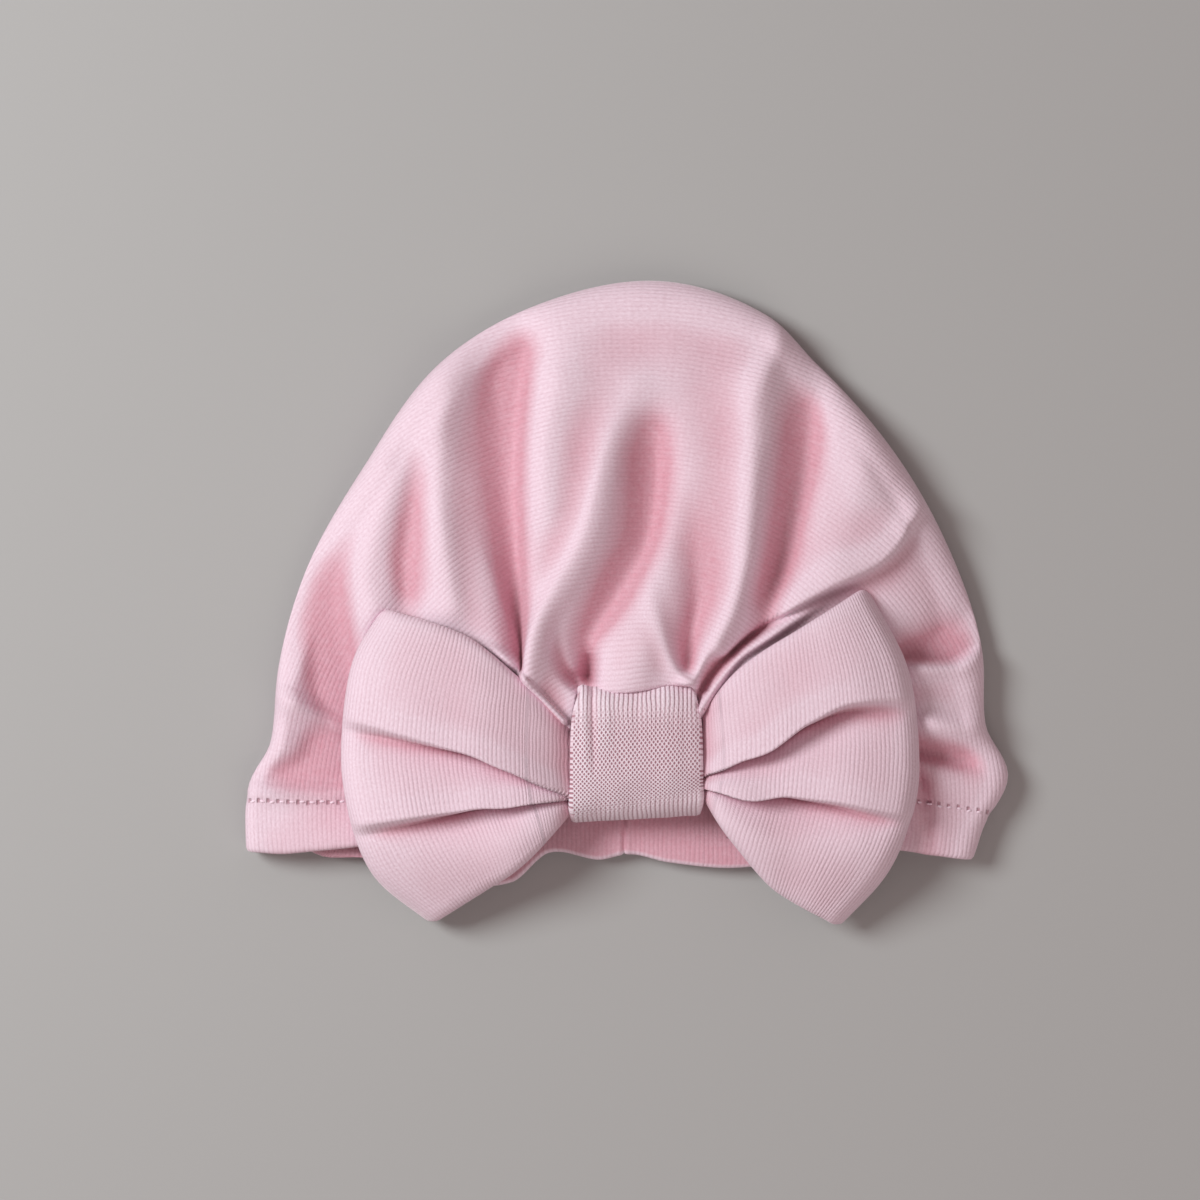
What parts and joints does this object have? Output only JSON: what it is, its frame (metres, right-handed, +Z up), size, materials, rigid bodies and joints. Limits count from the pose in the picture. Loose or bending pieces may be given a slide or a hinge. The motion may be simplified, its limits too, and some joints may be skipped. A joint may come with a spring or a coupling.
{
  "type": "baby turban hat",
  "caption": "Soft rib jersey baby turban hat lying on its back: hollow gathered cap, open hem, large looped bow and a knot band round its waist.",
  "frame": {"origin": "on the surface that it lies on, under the middle of the whole piece", "axes": "+X across the hem, +Y from the hem to the crown, +Z up through the bow"},
  "size_m": [0.1794, 0.1524, 0.0225],
  "materials": {
    "cap_jersey": "matt fine rib jersey, pale pink",
    "bow_jersey": "matt fine rib jersey, pale pink, doubled",
    "band_jersey": "matt rib jersey, pale pink with open ribs"
  },
  "bodies": {
    "root": {"cap": "cap_jersey", "bow": "bow_jersey", "knot_band": "band_jersey"}
  },
  "joints": []
}
